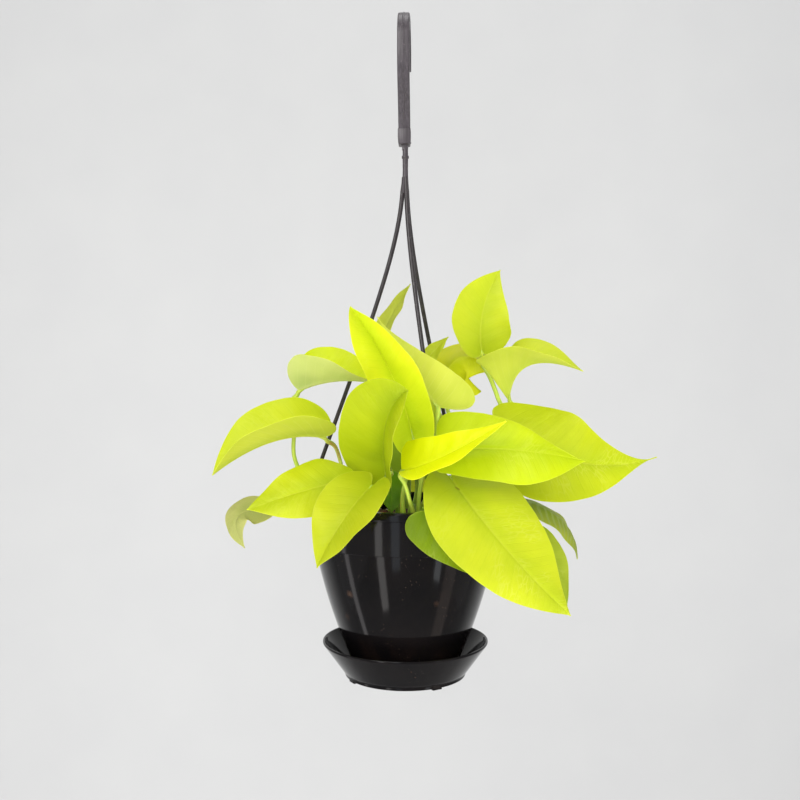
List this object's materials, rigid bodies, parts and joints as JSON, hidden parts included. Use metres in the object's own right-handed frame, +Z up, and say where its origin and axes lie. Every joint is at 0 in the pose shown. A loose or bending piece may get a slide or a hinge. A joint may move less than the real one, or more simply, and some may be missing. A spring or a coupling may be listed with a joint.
{
  "type": "hanging potted pothos",
  "caption": "Trailing neon-leaved vine in a tapered gloss hanging pot with drip saucer, carried by a moulded hook hanger with three strands.",
  "frame": {"origin": "seat of the hook: the centre line of the bar that the hanger hangs on", "axes": "+X along the bar, +Z up, -Y towards the front of the plant; the pot's axis is the Z axis"},
  "size_m": [0.3105, 0.2188, 0.4942],
  "materials": {
    "hanger_plastic": "satin charcoal moulded plastic",
    "pot_plastic": "high gloss near-black moulded plastic",
    "potting_mix": "coarse dark brown peat and bark mix, matt",
    "stem": "smooth green vine stem",
    "petiole": "smooth pale yellow-green leaf stalk, satin",
    "leaf_neon": "waxy bright yellow-green leaf, satin",
    "leaf_lime": "waxy lime green leaf, satin",
    "leaf_olive": "waxy olive green leaf, satin",
    "leaf_shade": "waxy dark green leaf, satin"
  },
  "bodies": {
    "root": {"hanger_hook": "hanger_plastic", "hanger_strand_back": "hanger_plastic", "hanger_strand_left": "hanger_plastic", "hanger_strand_front": "hanger_plastic", "pot": "pot_plastic", "saucer": "pot_plastic", "potting_mix": "potting_mix", "stem_front": "stem", "stem_left": "stem", "stem_right": "stem", "leaf_front_large": "leaf_neon", "petiole_front_large": "petiole", "leaf_front_low": "leaf_lime", "petiole_front_low": "petiole", "leaf_front_bright": "leaf_neon", "petiole_front_bright": "petiole", "leaf_front_left": "leaf_lime", "petiole_front_left": "petiole", "leaf_front_down": "leaf_lime", "petiole_front_down": "petiole", "leaf_left_low": "leaf_neon", "petiole_left_low": "petiole", "leaf_left_back": "leaf_olive", "petiole_left_back": "petiole", "leaf_left_arch": "leaf_neon", "petiole_left_arch": "petiole", "leaf_left_high": "leaf_lime", "petiole_left_high": "petiole", "leaf_top_left": "leaf_neon", "petiole_top_left": "petiole", "leaf_top_pale": "leaf_lime", "petiole_top_pale": "petiole", "leaf_top_thin": "leaf_olive", "petiole_top_thin": "petiole", "leaf_top_right": "leaf_neon", "petiole_top_right": "petiole", "leaf_right_trumpet": "leaf_lime", "petiole_right_trumpet": "petiole", "leaf_right_inner": "leaf_olive", "petiole_right_inner": "petiole", "leaf_top_small": "leaf_olive", "petiole_top_small": "petiole", "leaf_right_mid": "leaf_neon", "petiole_right_mid": "petiole", "leaf_right_far": "leaf_neon", "petiole_right_far": "petiole", "leaf_right_drop": "leaf_olive", "petiole_right_drop": "petiole", "leaf_right_low": "leaf_lime", "petiole_right_low": "petiole", "leaf_inner_dark": "leaf_shade", "petiole_inner_dark": "petiole", "leaf_inner_back": "leaf_shade", "petiole_inner_back": "petiole", "leaf_back_left": "leaf_lime", "petiole_back_left": "petiole", "leaf_back_centre": "leaf_lime", "petiole_back_centre": "petiole", "leaf_back_right": "leaf_lime", "petiole_back_right": "petiole"}
  },
  "joints": []
}
